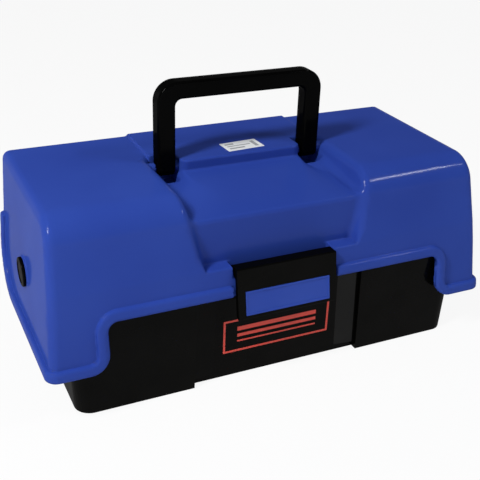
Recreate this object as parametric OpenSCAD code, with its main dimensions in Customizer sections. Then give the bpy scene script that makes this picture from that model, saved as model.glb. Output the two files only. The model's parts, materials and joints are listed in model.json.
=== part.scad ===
// Tackle box: a black moulded base, a blue moulded lid with a saddle and a folding handle, one wide
// front latch, and two trays that rise with the lid on steel lift arms.
// Millimetres. X runs along the length, Y from the front to the back and Z up.
// The origin is on the ground under the middle of the box.

/* [Base] */
// Length of the base at the ground
base_len = 359; // [352:1:362]
// Depth of the base at the ground
base_dep = 157.2; // [155:0.2:158]
// Height of the rim
base_h = 97; // [95:0.5:98]
// Radius of the upright corners
base_r = 14; // [10:1:18]
// Height of the step below the set-back front rim
rim_step_h = 84; // [80:1:88]
// Depth of the recessed front panel
panel_in = 6.4; // [4:0.2:7]
// Half width of the recessed front panel at the ground
panel_half = 79.3; // [74:0.5:84]
// Wall of the mouldings
wall = 2.6; // [2.2:0.1:3]

/* [Lid] */
// Length over the walls at the lower edge
lid_len = 403; // [400:1:406]
// Height of the shoulders
lid_top = 168.8; // [167:0.2:171]
// Y of the back wall
lid_back = 91.8; // [91:0.2:93]
// Height of the lower edge at the corner drops and the sides
drop_z = 44; // [41:1:48]
// Height of the lower edge along the front, between the corner drops
lip_z = 85.5; // [84:0.5:88]
// Half width between the corner drops
drop_half = 153.8; // [145:0.2:160]
// Width of the thick lip along the lower edge
lip_w = 9.5; // [7:0.5:11]
// How far the lip stands out from the wall
lip_out = 3.5; // [2:0.5:4]
// Height of the ledge above the latch
ledge_z = 110; // [108:0.5:111]
// Radius of the shoulders' front and side edges
shoulder_r = 20; // [16:1:22]

/* [Saddle] */
// Height of the ridge at the front of the saddle
ridge_z = 149.5; // [148:0.5:151]
// Y of the ridge
ridge_y = -65.8; // [-67:0.2:-65]
// Half width of the hump and the platform
hump_half = 57.5; // [55:0.5:57.5]
// Height of the hump where it meets the platform
hump_z = 161; // [159:0.5:162]
// Height of the platform
plat_z = 170.8; // [170:0.2:172]
// Y of the platform's front
plat_y = 8; // [6:0.5:8.5]
// Half width of the platform behind the handle pockets
plat_half = 80; // [76:1:82]

/* [Handle] */
// Outer half width
handle_half = 77; // [76:0.2:77.2]
// Width of a leg
leg_w = 16; // [14:0.2:17]
// Height of the grip
grip_h = 15; // [13:0.5:16]
// Thickness of the moulding
handle_t = 15; // [13:0.5:15]
// Height of the handle's top
handle_top = 238.5; // [232:0.5:242]
// Height of the pins that the feet turn on
handle_pin_z = 163; // [162.8:0.1:163.2]

/* [Latch] */
// Half width
latch_half = 46; // [44:0.2:46.2]
// Height of its lower edge
latch_low = 66; // [64:0.5:67]
// Height of the badge
badge_h = 21; // [18:0.5:22]
// Half width of the badge
badge_half = 39; // [36:0.5:40]

/* [Trays] */
// Half length of both trays
tray_half = 171; // [170:0.5:171]
// Wall of a tray
tray_wall = 1.8; // [1.6:0.1:2]
// Height of the upper tray
upper_h = 42; // [38:1:42]
// Height of the lower tray
lower_h = 32; // [28:1:32]
// Thickness of a lift arm
arm_t = 2; // [1.6:0.1:2]
// Half width of a lift arm
arm_half = 5; // [4:0.5:5.2]

/* [Hidden] */

BLUE = "#2f4aa0";
BLACK = "#161616";
GREY = "#8d9196";
STEEL = "#b9bdc2";
eps = 0.1;

// Draft of the walls, in millimetres per millimetre of height
base_draft_x = 0.05;
base_draft_y = 0.01;
lid_draft_x = 0.072;
saddle_draft = 0.2;

// Pivots in the YZ plane, as [y, z]
hinge = [85.2, 99.5];
lid_pivot = [3, 95];
arm_root = [50, 86];
short_root = [30, 66];
crank = lid_pivot - hinge;
arm_tip = arm_root + crank;
arm_mid = arm_root + crank / 2;
short_tip = short_root + crank / 2;
handle_pin = [19.5, handle_pin_z];
latch_pivot = [-73.5, 105.8];

// Radii of the pins; a bore that runs on one is run_gap larger, a bore that holds one is hold_gap
hinge_pin_r = 1.6;
cap_pin_r = 3;
rivet_r = 2;
handle_pin_r = 2;
latch_pin_r = 1.5;
run_gap = 0.08;
hold_gap = 0.02;
open_gap = 0.3;

// Planes along X on the right-hand side, from the trays outwards
arm_x = 175;
boss_x = arm_x - 0.3;
cap_x = 198.8;
pad_x = 184.6;

// Lid walls
lid_back_r = 4.4;
saddle_r = 7;
shoulder_cz = lid_top - shoulder_r;
function lid_half(z) = lid_len / 2 - (z - drop_z) * lid_draft_x;
kink_z = 90;
kink_y = -82.3;
ledge_y = kink_y + (ledge_z - kink_z) * 0.171;
function front_y(z) = z < kink_z ? kink_y - (kink_z - z) * 0.13
                    : z < ledge_z ? kink_y + (z - kink_z) * 0.171
                    : ledge_y + (z - ledge_z) * 0.232;
function saddle_half(z) = 71.2 + (z - 114) * saddle_draft;
shoulder_cy = front_y(shoulder_cz) + shoulder_r * 1.027;
valley_rise = 0.06;
hump_slope = atan((hump_z - ridge_z) / (plat_y - ridge_y));
pocket_y = 30;

// Latch plate: a slanted front from the ledge down over the base
latch_top = ledge_z - 0.2;
latch_y = -84;
latch_low_y = -91.4;
latch_lean = atan((latch_y - latch_low_y) / (latch_top - latch_low));
latch_t = 2.6;

// Points of an arc about c, from angle a0 to a1
function arc(c, r, a0, a1, n = 8) =
    [for (i = [0 : n]) c + r * [cos(a0 + (a1 - a0) * i / n), sin(a0 + (a1 - a0) * i / n)]];

// Outline through corners [a, b, r], each rounded with its own radius r
function unit(v) = v / norm(v);
function corner(a, b, c, r, n) =
    r == 0 ? [b] :
    let (u = unit(a - b), v = unit(c - b), h = acos(u * v) / 2, m = b + unit(u + v) * r / sin(h),
         t0 = b + u * r / tan(h) - m, t1 = b + v * r / tan(h) - m,
         a0 = atan2(t0[1], t0[0]), d = atan2(t1[1], t1[0]) - a0,
         turn = d > 180 ? d - 360 : d < -180 ? d + 360 : d)
    arc(m, r, a0, a0 + turn, n);
function rounded(p, n = 8) =
    [for (i = [0 : len(p) - 1])
        let (a = p[(i + len(p) - 1) % len(p)], b = p[i], c = p[(i + 1) % len(p)])
        each corner([a[0], a[1]], [b[0], b[1]], [c[0], c[1]], b[2], n)];

// Prism whose outline is given in the YZ plane, between x0 and x1
module along_x(x0, x1) {
    translate([x0, 0, 0]) rotate([90, 0, 90]) linear_extrude(height = x1 - x0) children();
}

// Prism whose outline is given in the XZ plane, between y0 and y1
module along_y(y0, y1) {
    translate([0, y1, 0]) rotate([90, 0, 0]) linear_extrude(height = y1 - y0) children();
}

// Round bar along X at p = [y, z]
module bar(p, r, x0, x1) {
    translate([min(x0, x1), p[0], p[1]]) rotate([0, 90, 0])
        cylinder(r = r, h = abs(x1 - x0), $fn = 48);
}

// Block between two corners
module block(lo, hi) {
    translate(lo) cube(hi - lo);
}

// Rectangle with round corners, between two corners
module round_rect(lo, hi, r) {
    polygon(rounded([[lo[0], lo[1], r], [hi[0], lo[1], r], [hi[0], hi[1], r], [lo[0], hi[1], r]]));
}

// The right-hand children and their mirror image
module both_sides() {
    children();
    mirror([1, 0, 0]) children();
}

// ---------------------------------------------------------------- base

// Drafted block with round corners, drawn in by t, from z0 up
module tub_block(t, z0, z1) {
    hx = base_len / 2 + base_draft_x * z0 - t;
    hy = base_dep / 2 + base_draft_y * z0 - t;
    dz = z1 - z0;
    translate([0, 0, z0])
        linear_extrude(height = dz, slices = 1,
                       scale = [1 + base_draft_x * dz / hx, 1 + base_draft_y * dz / hy])
            round_rect([-hx, -hy], [hx, hy], base_r - t);
}

// Recess of the front panel, drawn in by t; it narrows towards the top
module front_recess(t) {
    depth = base_dep / 2 - panel_in - t;
    along_y(-base_dep, -depth)
        polygon([[-panel_half - t, -1], [panel_half + t, -1],
                 [panel_half - 2.8 + t, base_h + 2], [-panel_half + 2.8 - t, base_h + 2]]);
}

// Set-back front rim, drawn in by t, which the lid's front wall comes down over
module rim_setback(t) {
    block([-base_len, -base_dep, rim_step_h - t], [base_len, -76.2 + t, base_h + 2]);
}

// One hinge knuckle of the base
module base_knuckle(x0, x1) {
    bar(hinge, 4.2, x0, x1);
    along_x(x0, x1)
        polygon([[77.2, 84], [79.2, 84], [88.1, 96.4], hinge, [84.2, 103.5], [77.2, 96.5]]);
}

// Rails that hold a divider in the base, at x
module base_rails(x) {
    for (dx = [-1, 1]) {
        block([x + dx * 2.2 - 0.8, -70.6, wall], [x + dx * 2.2 + 0.8, -66.4, 38]);
        block([x + dx * 2.2 - 0.8, 73.4, wall], [x + dx * 2.2 + 0.8, 77, 38]);
    }
}

module base_tub() {
    color(BLACK) difference() {
        union() {
            difference() {
                tub_block(0, 0, base_h);
                front_recess(0);
                rim_setback(0);
                difference() {
                    tub_block(wall, wall + 0.4, base_h + 2);
                    front_recess(wall);
                    rim_setback(wall);
                }
            }
            both_sides() {
                for (p = [arm_root, short_root]) bar(p, 5.5, arm_x + arm_t + 0.3, pad_x);
                for (i = [0, 2, 4]) base_knuckle(92 + 11.2 * i, 103 + 11.2 * i);
                base_rails(60);
            }
            // Catch bead on the front panel, under the latch
            along_x(-34, 34)
                polygon([[-70, 70], [-80.2, 73.2], [-80.9, 76], [-80.3, 78.6], [-70, 82]]);
            // Strengthening ribs of the catch
            for (x = [-26, 0, 26])
                along_x(x - 1.2, x + 1.2) polygon([[-70, 62], [-79, 73], [-70, 82]]);
        }
        both_sides() {
            for (p = [arm_root, short_root]) bar(p, rivet_r + hold_gap, arm_x, 190);
            // Notch that the lid's pivot boss lies in
            bar(lid_pivot, 8.5, 178.2, 190);
            block([178.2, lid_pivot[0] - 8.5, lid_pivot[1]], [190, lid_pivot[0] + 8.5, base_h + 3]);
        }
        bar(hinge, hinge_pin_r + hold_gap, -150, 150);
    }
}

// Removable plate between the two pairs of rails, at x
module base_divider(x) {
    color(GREY) difference() {
        along_x(x - 1, x + 1)
            polygon(concat([[-69.2, 3.4], [76, 3.4], [76, 37]],
                           arc([60, 41], 6, -60, -120, 4), arc([-53, 41], 6, -60, -120, 4),
                           [[-69.2, 37]]));
        block([x - 2, -12, 26], [x + 2, 18, 31]);
    }
}

// ---------------------------------------------------------------- lid

// Round corner posts of the lid's body at height z, drawn in by t
module lid_posts(t, z) {
    for (s = [-1, 1]) {
        translate([s * (lid_half(z) - shoulder_r), front_y(z) + shoulder_r, z - eps])
            cylinder(r = shoulder_r - t, h = eps, $fn = 48);
        translate([s * (lid_half(z) - lid_back_r), lid_back - lid_back_r, z - eps])
            cylinder(r = lid_back_r - t, h = eps, $fn = 32);
    }
}

// Lower body of the lid, up to the ledge, drawn in by t
module lid_body(t) {
    hull() {
        lid_posts(t, drop_z - 6);
        lid_posts(t, kink_z);
        lid_posts(t, ledge_z - t);
    }
}

// Ring of radius r with a round section of radius q, about Z
module ring(r, q) {
    rotate_extrude($fn = 40) translate([r - q, 0]) circle(r = q, $fn = 24);
}

// Right-hand shoulder, drawn in by t
module shoulder(t) {
    side_x = lid_half(shoulder_cz) - shoulder_r;
    in_x = saddle_half(lid_top - saddle_r) + saddle_r * 1.02;
    hull() {
        for (z = [ledge_z - 10, ledge_z]) {
            translate([lid_half(z) - shoulder_r, front_y(z) + shoulder_r, z - eps])
                cylinder(r = shoulder_r - t, h = eps, $fn = 48);
            translate([lid_half(z) - lid_back_r, lid_back - lid_back_r, z - eps])
                cylinder(r = lid_back_r - t, h = eps, $fn = 32);
            translate([saddle_half(z) + 4, front_y(z) + 4, z - eps])
                cylinder(r = 4 - t, h = eps, $fn = 24);
            translate([saddle_half(z) + 4, lid_back - 4, z - eps])
                cylinder(r = 4 - t, h = eps, $fn = 24);
        }
        translate([side_x, shoulder_cy, shoulder_cz]) sphere(r = shoulder_r - t, $fn = 40);
        translate([side_x, lid_back - lid_back_r, shoulder_cz]) rotate([90, 0, 0])
            ring(shoulder_r - t, lid_back_r - t);
        translate([in_x, shoulder_cy, shoulder_cz]) rotate([0, 90, 0])
            ring(shoulder_r - t, saddle_r - t);
        translate([in_x, lid_back - saddle_r, lid_top - saddle_r]) sphere(r = saddle_r - t, $fn = 24);
    }
}

// Bulk of the saddle between the shoulders: its front face, the ridge and the valley floors
module saddle_bulk(t, half) {
    back_z = ridge_z + (lid_back - ridge_y) * valley_rise;
    r = t > 0 ? 0.5 : 2.5;
    along_x(-half, half)
        polygon(concat([[ridge_y - 1 + t, 100 - 5 * t]],
                       arc([ridge_y - 0.1 + t + r, ridge_z - t - r * 1.07], r, 178, 86, 4),
                       [[lid_back - t, back_z - t], [lid_back - t, 100 - 5 * t]]));
}

// Top deck behind the handle pockets, or the platform on it, from y0 to the back wall
module deck(t, half, y0, top) {
    along_x(-half, half)
        polygon(concat([[y0 + t, 125], [y0 + t, top - t]],
                       arc([lid_back - lid_back_r, top - lid_back_r], lid_back_r - t, 90, 0),
                       [[lid_back - t, 125]]));
}

// Hump that slopes from the platform down to the ridge, with round shoulders; its side walls are a
// little thicker than the platform's
module hump(t) {
    r = 10;
    half = hump_half - t * 1.15;
    intersection() {
        translate([0, plat_y, hump_z]) rotate([hump_slope, 0, 0]) along_y(-85, 8)
            polygon(concat([[-half, -30]], arc([-half + r - t, -r], r - t, 180, 90),
                           arc([half - r + t, -r], r - t, 90, 0), [[half, -30]]));
        block([-hump_half, ridge_y - 0.2 + t, 120], [hump_half, 40, 180]);
    }
}

// Platform between the handle pockets
module platform(t) {
    translate([0, 0, 125]) linear_extrude(height = plat_z - 125 - t)
        round_rect([-hump_half + t, plat_y + t], [hump_half - t, 60], 7 - t);
}

// Everything of the lid's bulk, drawn in by t; t = 0 is the outside, t = wall the hollow
module lid_bulk(t) {
    lid_body(t);
    both_sides() shoulder(t);
    saddle_bulk(t, 84 + t);
    deck(t, 92 + t, pocket_y, lid_top);
    deck(t, plat_half - t, pocket_y, plat_z);
    hump(t);
    platform(t);
}

// Region below the lower edge, seen from the side: level, then an arc up to the back; grown by d
module side_opening(d) {
    y = lid_back - 3.8 - d;
    polygon(rounded([[-140, 0, 0], [-140, drop_z + d, 0], [y, drop_z + d, 48 - d], [y, 103, 0],
                     [140, 103, 0], [140, 0, 0]], 12));
}

// Opening between the corner drops, seen from the front, grown by d
module front_opening(d) {
    x = drop_half + d;
    far = drop_half + 40;
    polygon(rounded([[-far, 0, 0], [-far, drop_z + d, 0], [-x, drop_z + d, 16 - d],
                     [-x, lip_z + d, 8 + d], [x, lip_z + d, 8 + d], [x, drop_z + d, 16 - d],
                     [far, drop_z + d, 0], [far, 0, 0]]));
}

// Zone of the thick lip along the lower edge, open at the latch
module lip_zone() {
    along_x(-260, 260) difference() {
        side_opening(lip_w);
        side_opening(0);
    }
    difference() {
        along_y(-110, -60) front_opening(lip_w);
        block([-48.2, -120, 40], [48.2, -50, 120]);
    }
}

// Round boss with its axis along X, from the wall inwards
module lid_bosses() {
    both_sides() {
        bar(lid_pivot, 6, arm_x + arm_t + 0.5, 196);
        bar(lid_pivot, 13.6, 195.6, cap_x);
        bar(handle_pin, 5, hump_half - 6, hump_half - 0.6);
        bar(handle_pin, 3.6, 84.2, 87);
        for (i = [1, 3]) {
            bar(hinge, 4.2, 92 + 11.2 * i, 103 + 11.2 * i);
            along_x(92 + 11.2 * i, 103 + 11.2 * i)
                polygon([[84.2, 103.5], [89.6, 110], [lid_back - 0.2, 110], [lid_back - 0.2, 103],
                         [88.2, 96.6], hinge]);
        }
    }
}

module lid_shell() {
    recess = latch_half + 0.8;
    color(BLUE) difference() {
        union() {
            difference() {
                union() {
                    lid_bulk(0);
                    intersection() {
                        lid_body(-lip_out);
                        lip_zone();
                    }
                }
                difference() {
                    lid_bulk(wall);
                    // Walls of the latch recess
                    block([-recess - wall, -100, 98], [recess + wall, ridge_y - 1 + wall, ledge_z]);
                }
                along_x(-260, 260) side_opening(0);
                along_y(-120, -40) front_opening(0);
            }
            lid_bosses();
        }
        // Latch recess in the ledge
        block([-recess, -100, 98 + wall], [recess, ridge_y - 0.9, ledge_z + 1]);
        bar(latch_pivot, latch_pin_r + hold_gap, -53, 53);
        bar(hinge, hinge_pin_r + run_gap, -150, 150);
        both_sides() {
            bar(lid_pivot, cap_pin_r + hold_gap, 170, 210);
            bar(handle_pin, handle_pin_r + hold_gap, 40, 95);
        }
    }
}

// ---------------------------------------------------------------- handle

module handle() {
    y0 = handle_pin[0] - handle_t / 2;
    in_half = handle_half - leg_w;
    in_top = handle_top - grip_h;
    // Radius of the moulding's edges
    r = 2.4;
    color(BLACK) difference() {
        union() {
            minkowski() {
                along_y(y0 + r, y0 + handle_t - r)
                    polygon(rounded([[-handle_half + r, handle_pin_z, 0],
                                     [-handle_half + r, handle_top - r, 18 - r],
                                     [handle_half - r, handle_top - r, 18 - r],
                                     [handle_half - r, handle_pin_z, 0],
                                     [in_half + r, handle_pin_z, 0], [in_half + r, in_top + r, 6 + r],
                                     [-in_half - r, in_top + r, 6 + r], [-in_half - r, handle_pin_z, 0]]));
                sphere(r = r, $fn = 16);
            }
            both_sides() bar(handle_pin, handle_t / 2, in_half, handle_half);
        }
        bar(handle_pin, handle_pin_r + run_gap, -90, 90);
    }
}

// Steel pin of a handle foot, on the right-hand side
module handle_pin_solid() {
    bar(handle_pin, handle_pin_r, hump_half - 5.5, 88.2);
    bar(handle_pin, 2.8, 87.1, 88.2);
}

// ---------------------------------------------------------------- latch

// Frame of the latch's plate: the origin is on its top front edge and Z runs up its front face
module plate_frame() {
    translate([0, latch_y, latch_top]) rotate([-latch_lean, 0, 0]) children();
}

// Side wall of the latch, between x0 and x1
module latch_side(x0, x1) {
    along_x(x0, x1)
        polygon([[latch_y + 0.3, latch_top - 1], [latch_pivot[0], 108.6], [latch_pivot[0], 104],
                 [-78.6, 101.8], [-81.6, 100.2], [-84.2, 84], [-86.8, latch_low + 1.5],
                 [latch_low_y + 0.4, latch_low]]);
}

module latch() {
    plate_back = latch_low_y + latch_t / cos(latch_lean);
    color(BLACK) difference() {
        union() {
            bar(latch_pivot, 3.2, -latch_half, latch_half);
            // Turned-back top and slanted front plate
            along_x(-latch_half, latch_half)
                polygon(rounded([[latch_y, latch_top, 1.6], [latch_low_y, latch_low, 0.8],
                                 [plate_back, latch_low, 0.8], [latch_y + 2.4, 107, 1],
                                 [latch_pivot[0], 106.4, 0], [latch_pivot[0], 109, 0]], 4));
            both_sides() latch_side(latch_half - 2.2, latch_half);
            // Hook bead that snaps past the catch on the base
            along_x(-30, 30) polygon([[-88.6, 67], [-81.2, 68], [-80.5, 70], [-80.6, 72], [-87, 74]]);
        }
        bar(latch_pivot, latch_pin_r + run_gap, -60, 60);
        // Pocket of the badge
        plate_frame() block([-badge_half - 0.2, -2, -20.2 - badge_h], [badge_half + 0.2, 1.6, -19.8]);
    }
}

// Blue inset plate with a raised rim
module latch_badge() {
    rim = 1.8;
    color(BLUE) plate_frame() difference() {
        block([-badge_half, -0.5, -20 - badge_h], [badge_half, 1.55, -20]);
        block([-badge_half + rim, -2, -20 - badge_h + rim], [badge_half - rim, -0.05, -20 - rim]);
    }
}

module latch_pin() {
    color(STEEL) bar(latch_pivot, latch_pin_r, -52.4, 52.4);
}

// ---------------------------------------------------------------- pins and arms

// Black cap on the side of the lid, with the long pin that the upper tray hangs on
module pivot_cap() {
    color(BLACK) translate([0, lid_pivot[0], lid_pivot[1]]) rotate([0, 90, 0]) rotate_extrude($fn = 64)
        polygon(concat([[0, 165.6], [cap_pin_r - 0.6, 165.6], [cap_pin_r, 166.4], [cap_pin_r, cap_x],
                        [12.5, cap_x]],
                       arc([11.5, cap_x + 1.6], 1, 0, 80, 4),
                       [[9.6, cap_x + 2.8], [9.2, cap_x + 2.3], [0, cap_x + 2.4]]));
}

module hinge_pin() {
    color(STEEL) bar(hinge, hinge_pin_r, 92.4, 147.4);
}

// Lift arm between two pivots, with a bore for each of the pins given as [position, radius]
module lift_arm(a, b, bores) {
    color(STEEL) difference() {
        union() {
            for (p = [a, b]) bar(p, arm_half, arm_x, arm_x + arm_t);
            translate([arm_x, a[0], a[1]]) rotate([atan2(b[1] - a[1], b[0] - a[0]), 0, 0])
                translate([0, 0, -arm_half]) cube([arm_t, norm(b - a), 2 * arm_half]);
        }
        for (h = bores) bar(h[0], h[1], arm_x - 1, arm_x + arm_t + 1);
    }
}

module arm_long() {
    lift_arm(arm_root, arm_tip, [[arm_root, rivet_r + run_gap], [arm_mid, rivet_r + run_gap],
                                 [arm_tip, rivet_r + open_gap]]);
}

module arm_short() {
    lift_arm(short_root, short_tip, [[short_root, rivet_r + run_gap], [short_tip, rivet_r + open_gap]]);
}

// Rivet with its heads' inner faces at x0 and x1; a zero head radius leaves that end plain
module rivet(p, x0, x1, r0, r1) {
    color(STEEL) {
        bar(p, rivet_r, x0 - (r0 > 0 ? 1.1 : 0), x1 + 1.1);
        if (r0 > 0) bar(p, r0, x0 - 1.1, x0);
        bar(p, r1, x1, x1 + 1.1);
    }
}

module rivets_base() {
    for (p = [arm_root, short_root]) rivet(p, boss_x, pad_x + 0.05, 4, 4.4);
}

module rivet_upper() {
    rivet(arm_tip, tray_half - tray_wall - 0.1, arm_x + arm_t + 0.2, 3.4, 4);
}

module rivets_lower() {
    rivet(arm_mid, 171.9, arm_x + arm_t + 0.2, 0, 4);
    rivet(short_tip, tray_half - tray_wall - 0.1, arm_x + arm_t + 0.2, 4, 4);
}

// ---------------------------------------------------------------- trays

upper_z = 76;
upper_y = [-56, 38];
lower_z = 42;
lower_y = [-66, 28];
// Y of the middle wall of each tray
upper_mid = -9;
lower_mid = -20;
lower_r = 3.6;
// Dividers as [x, first y, last y]
upper_cells = [[-57, upper_y[0], upper_mid], [57, upper_y[0], upper_mid],
               [-88, upper_mid, upper_y[1]], [88, upper_mid, upper_y[1]]];
lower_cells = [[-92, lower_y[0], lower_mid], [92, lower_y[0], lower_mid],
               [-46, lower_mid, lower_y[1]], [46, lower_mid, lower_y[1]]];

// Two ribs that stand out from a wall at y, to d, and hold one end of a divider
module rails(x, y, d, z, h) {
    y0 = y + min(d * 1.6, -d * 0.2);
    y1 = y + max(d * 1.6, -d * 0.2);
    for (dx = [-1.7, 1.7]) block([x + dx - 0.6, y0, z], [x + dx + 0.6, y1, z + h - 5]);
}

// Four walls of a tray from height z0 to z1, round at the corners
module tray_ring(ys, z0, z1, r) {
    difference() {
        translate([0, 0, z0]) linear_extrude(height = z1 - z0)
            round_rect([-tray_half, ys[0]], [tray_half, ys[1]], r);
        translate([0, 0, z0 - 1]) linear_extrude(height = z1 - z0 + 2)
            round_rect([-tray_half + tray_wall, ys[0] + tray_wall],
                       [tray_half - tray_wall, ys[1] - tray_wall], r - tray_wall);
    }
}

// Divider rails on the front and back walls of a tray, from height z
module tray_rails(ys, z, h, mid, cells) {
    for (c = cells) {
        if (c[1] != mid) rails(c[0], ys[0] + tray_wall, 1, z, h);
        if (c[2] != mid) rails(c[0], ys[1] - tray_wall, -1, z, h);
    }
}

// Floor of a tray
module tray_floor(ys, z, r) {
    translate([0, 0, z]) linear_extrude(height = tray_wall)
        round_rect([-tray_half, ys[0]], [tray_half, ys[1]], r);
}

// Middle wall of a tray, with its divider rails, from height z0 and between the end walls
module middle_wall(z0, half, z, h, mid, cells) {
    block([-half, mid - tray_wall / 2, z0], [half, mid + tray_wall / 2, z + h - 4]);
    for (c = cells) {
        d = c[1] == mid ? 1 : -1;
        rails(c[0], mid + d * tray_wall / 2, d, z0, z + h - z0);
    }
}

module tray_upper() {
    color(GREY) difference() {
        union() {
            tray_ring(upper_y, upper_z, upper_z + upper_h, 6);
            tray_floor(upper_y, upper_z, 6);
            tray_rails(upper_y, upper_z + 1, upper_h - 1, upper_mid, upper_cells);
            middle_wall(upper_z + 1, tray_half - 1, upper_z, upper_h, upper_mid, upper_cells);
            both_sides() {
                bar(lid_pivot, 6, tray_half - 4.5, tray_half);
                bar(arm_tip, 5.5, tray_half - 1, boss_x);
            }
        }
        both_sides() {
            bar(lid_pivot, cap_pin_r + run_gap, 150, 180);
            bar(arm_tip, rivet_r + hold_gap, 150, 180);
        }
    }
}

// Front and back walls of the lower tray, between its end walls
module tray_lower() {
    z0 = lower_z + tray_wall + 0.05;
    half = tray_half - lower_r - 0.05;
    color(GREY) {
        intersection() {
            tray_ring(lower_y, z0, lower_z + lower_h, lower_r);
            block([-half, lower_y[0] - 1, z0 - 1], [half, lower_y[1] + 1, lower_z + lower_h + 1]);
        }
        tray_rails(lower_y, z0 + 1, lower_z + lower_h - z0 - 1, lower_mid, lower_cells);
    }
}

// End walls of the lower tray, with the bosses that its short arms turn on
module tray_ends_lower() {
    z0 = lower_z + tray_wall + 0.05;
    half = tray_half - lower_r;
    color(GREY) difference() {
        union() {
            tray_ring(lower_y, z0, lower_z + lower_h, lower_r);
            both_sides() bar(short_tip, 5.5, tray_half - 1, boss_x);
        }
        block([-half, lower_y[0] - 1, z0 - 1], [half, lower_y[1] + 1, lower_z + lower_h + 1]);
        both_sides() bar(short_tip, rivet_r + hold_gap, 150, 180);
    }
}

// Flat floor welded under the walls of the lower tray
module tray_floor_lower() {
    color(GREY) tray_floor(lower_y, lower_z, lower_r);
}

// Wall that slides down the middle of the lower tray
module tray_wall_lower() {
    color(GREY)
        middle_wall(lower_z + tray_wall + 0.05, tray_half - tray_wall - 0.05, lower_z, lower_h, lower_mid,
                    lower_cells);
}

// Bracket welded to the end of the lower tray, that stands up past the end of the upper tray
module tray_ear() {
    ear = [arm_mid[0] - 6.5, arm_mid[0] + 6.5];
    x1 = boss_x - 0.4;
    color(GREY) difference() {
        union() {
            bar(arm_mid, 6.5, tray_half + 0.5, x1);
            block([tray_half + 0.5, ear[0], lower_z + 16], [x1, ear[1], arm_mid[1]]);
            block([tray_half, ear[0], lower_z + 16], [x1, ear[1], lower_z + lower_h]);
        }
        bar(arm_mid, rivet_r + hold_gap, 150, 180);
    }
}

// Removable divider plate with a finger notch
module divider(cell, z, h) {
    ya = cell[1] + tray_wall + 0.3;
    yb = cell[2] - tray_wall - 0.3;
    mid = (ya + yb) / 2;
    color(GREY) along_x(cell[0] - 0.8, cell[0] + 0.8)
        polygon(rounded([[ya, z + 2, 0], [yb, z + 2, 0], [yb, z + h - 6, 1], [mid + 12, z + h - 6, 3],
                         [mid + 8, z + h - 12, 3], [mid - 8, z + h - 12, 3], [mid - 12, z + h - 6, 3],
                         [ya, z + h - 6, 1]], 3));
}

base_tub();
lid_shell();
handle();
latch();
latch_badge();
mirror([1, 0, 0]) pivot_cap();  // pivot_cap_left
pivot_cap();  // pivot_cap_right
mirror([1, 0, 0]) hinge_pin();  // hinge_pin_left
hinge_pin();  // hinge_pin_right
color(STEEL) mirror([1, 0, 0]) handle_pin_solid();  // handle_pin_left
color(STEEL) handle_pin_solid();  // handle_pin_right
latch_pin();
tray_upper();
tray_lower();
mirror([1, 0, 0]) arm_long();  // arm_long_left
arm_long();  // arm_long_right
mirror([1, 0, 0]) arm_short();  // arm_short_left
arm_short();  // arm_short_right
mirror([1, 0, 0]) rivets_base();  // rivets_base_left
rivets_base();  // rivets_base_right
mirror([1, 0, 0]) rivet_upper();  // rivet_upper_left
rivet_upper();  // rivet_upper_right
mirror([1, 0, 0]) rivets_lower();  // rivets_lower_left
rivets_lower();  // rivets_lower_right
divider(upper_cells[0], upper_z, upper_h);  // divider_upper_1
divider(upper_cells[1], upper_z, upper_h);  // divider_upper_2
divider(upper_cells[2], upper_z, upper_h);  // divider_upper_3
divider(upper_cells[3], upper_z, upper_h);  // divider_upper_4
divider(lower_cells[0], lower_z, lower_h);  // divider_lower_1
divider(lower_cells[1], lower_z, lower_h);  // divider_lower_2
divider(lower_cells[2], lower_z, lower_h);  // divider_lower_3
divider(lower_cells[3], lower_z, lower_h);  // divider_lower_4
base_divider(-60);  // base_divider_left
base_divider(60);  // base_divider_right
tray_wall_lower();
tray_floor_lower();
tray_ends_lower();
mirror([1, 0, 0]) tray_ear();  // tray_ear_left
tray_ear();  // tray_ear_right
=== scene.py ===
"""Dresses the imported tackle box: moulded plastic shells, steel fittings, labels, lights and camera."""
import json
import logging
import math
from dataclasses import dataclass, field
from enum import Enum
from typing import Any, Sequence, Union

import bmesh
import bpy
import numpy as np
import openvdb
from mathutils import Matrix, Vector


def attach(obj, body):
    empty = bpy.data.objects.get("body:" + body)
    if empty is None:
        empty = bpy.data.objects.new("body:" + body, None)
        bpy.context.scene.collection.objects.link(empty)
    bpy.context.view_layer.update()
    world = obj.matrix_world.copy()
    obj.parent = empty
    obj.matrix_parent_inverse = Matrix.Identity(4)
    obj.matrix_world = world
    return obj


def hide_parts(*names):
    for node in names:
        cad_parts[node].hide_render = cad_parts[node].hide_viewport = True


LOG = logging.getLogger("tackle_box")
MM = 0.001
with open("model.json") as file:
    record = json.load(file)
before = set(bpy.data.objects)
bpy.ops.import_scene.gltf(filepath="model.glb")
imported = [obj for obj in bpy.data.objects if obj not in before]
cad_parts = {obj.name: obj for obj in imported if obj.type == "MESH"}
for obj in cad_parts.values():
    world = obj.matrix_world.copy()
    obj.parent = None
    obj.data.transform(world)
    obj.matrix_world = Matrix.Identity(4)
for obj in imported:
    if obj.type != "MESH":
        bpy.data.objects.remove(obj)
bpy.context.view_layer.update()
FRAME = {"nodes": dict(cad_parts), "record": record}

Colour = tuple[float, float, float]
Pair = tuple[float, float]
Triple = tuple[float, float, float]
Points = np.ndarray
Radius = Union[float, np.ndarray]


def linear(r: int, g: int, b: int) -> Colour:
    """Linear colour of a screen colour given as three values from 0 to 255."""
    return tuple((v / 255 / 12.92) if v <= 10 else ((v / 255 + 0.055) / 1.055) ** 2.4 for v in (r, g, b))


def darker(colour: Colour, share: float) -> Colour:
    """The colour at a share of its brightness."""
    return tuple(share * c for c in colour)


# ------------------------------------------------------------------ shader graph


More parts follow.
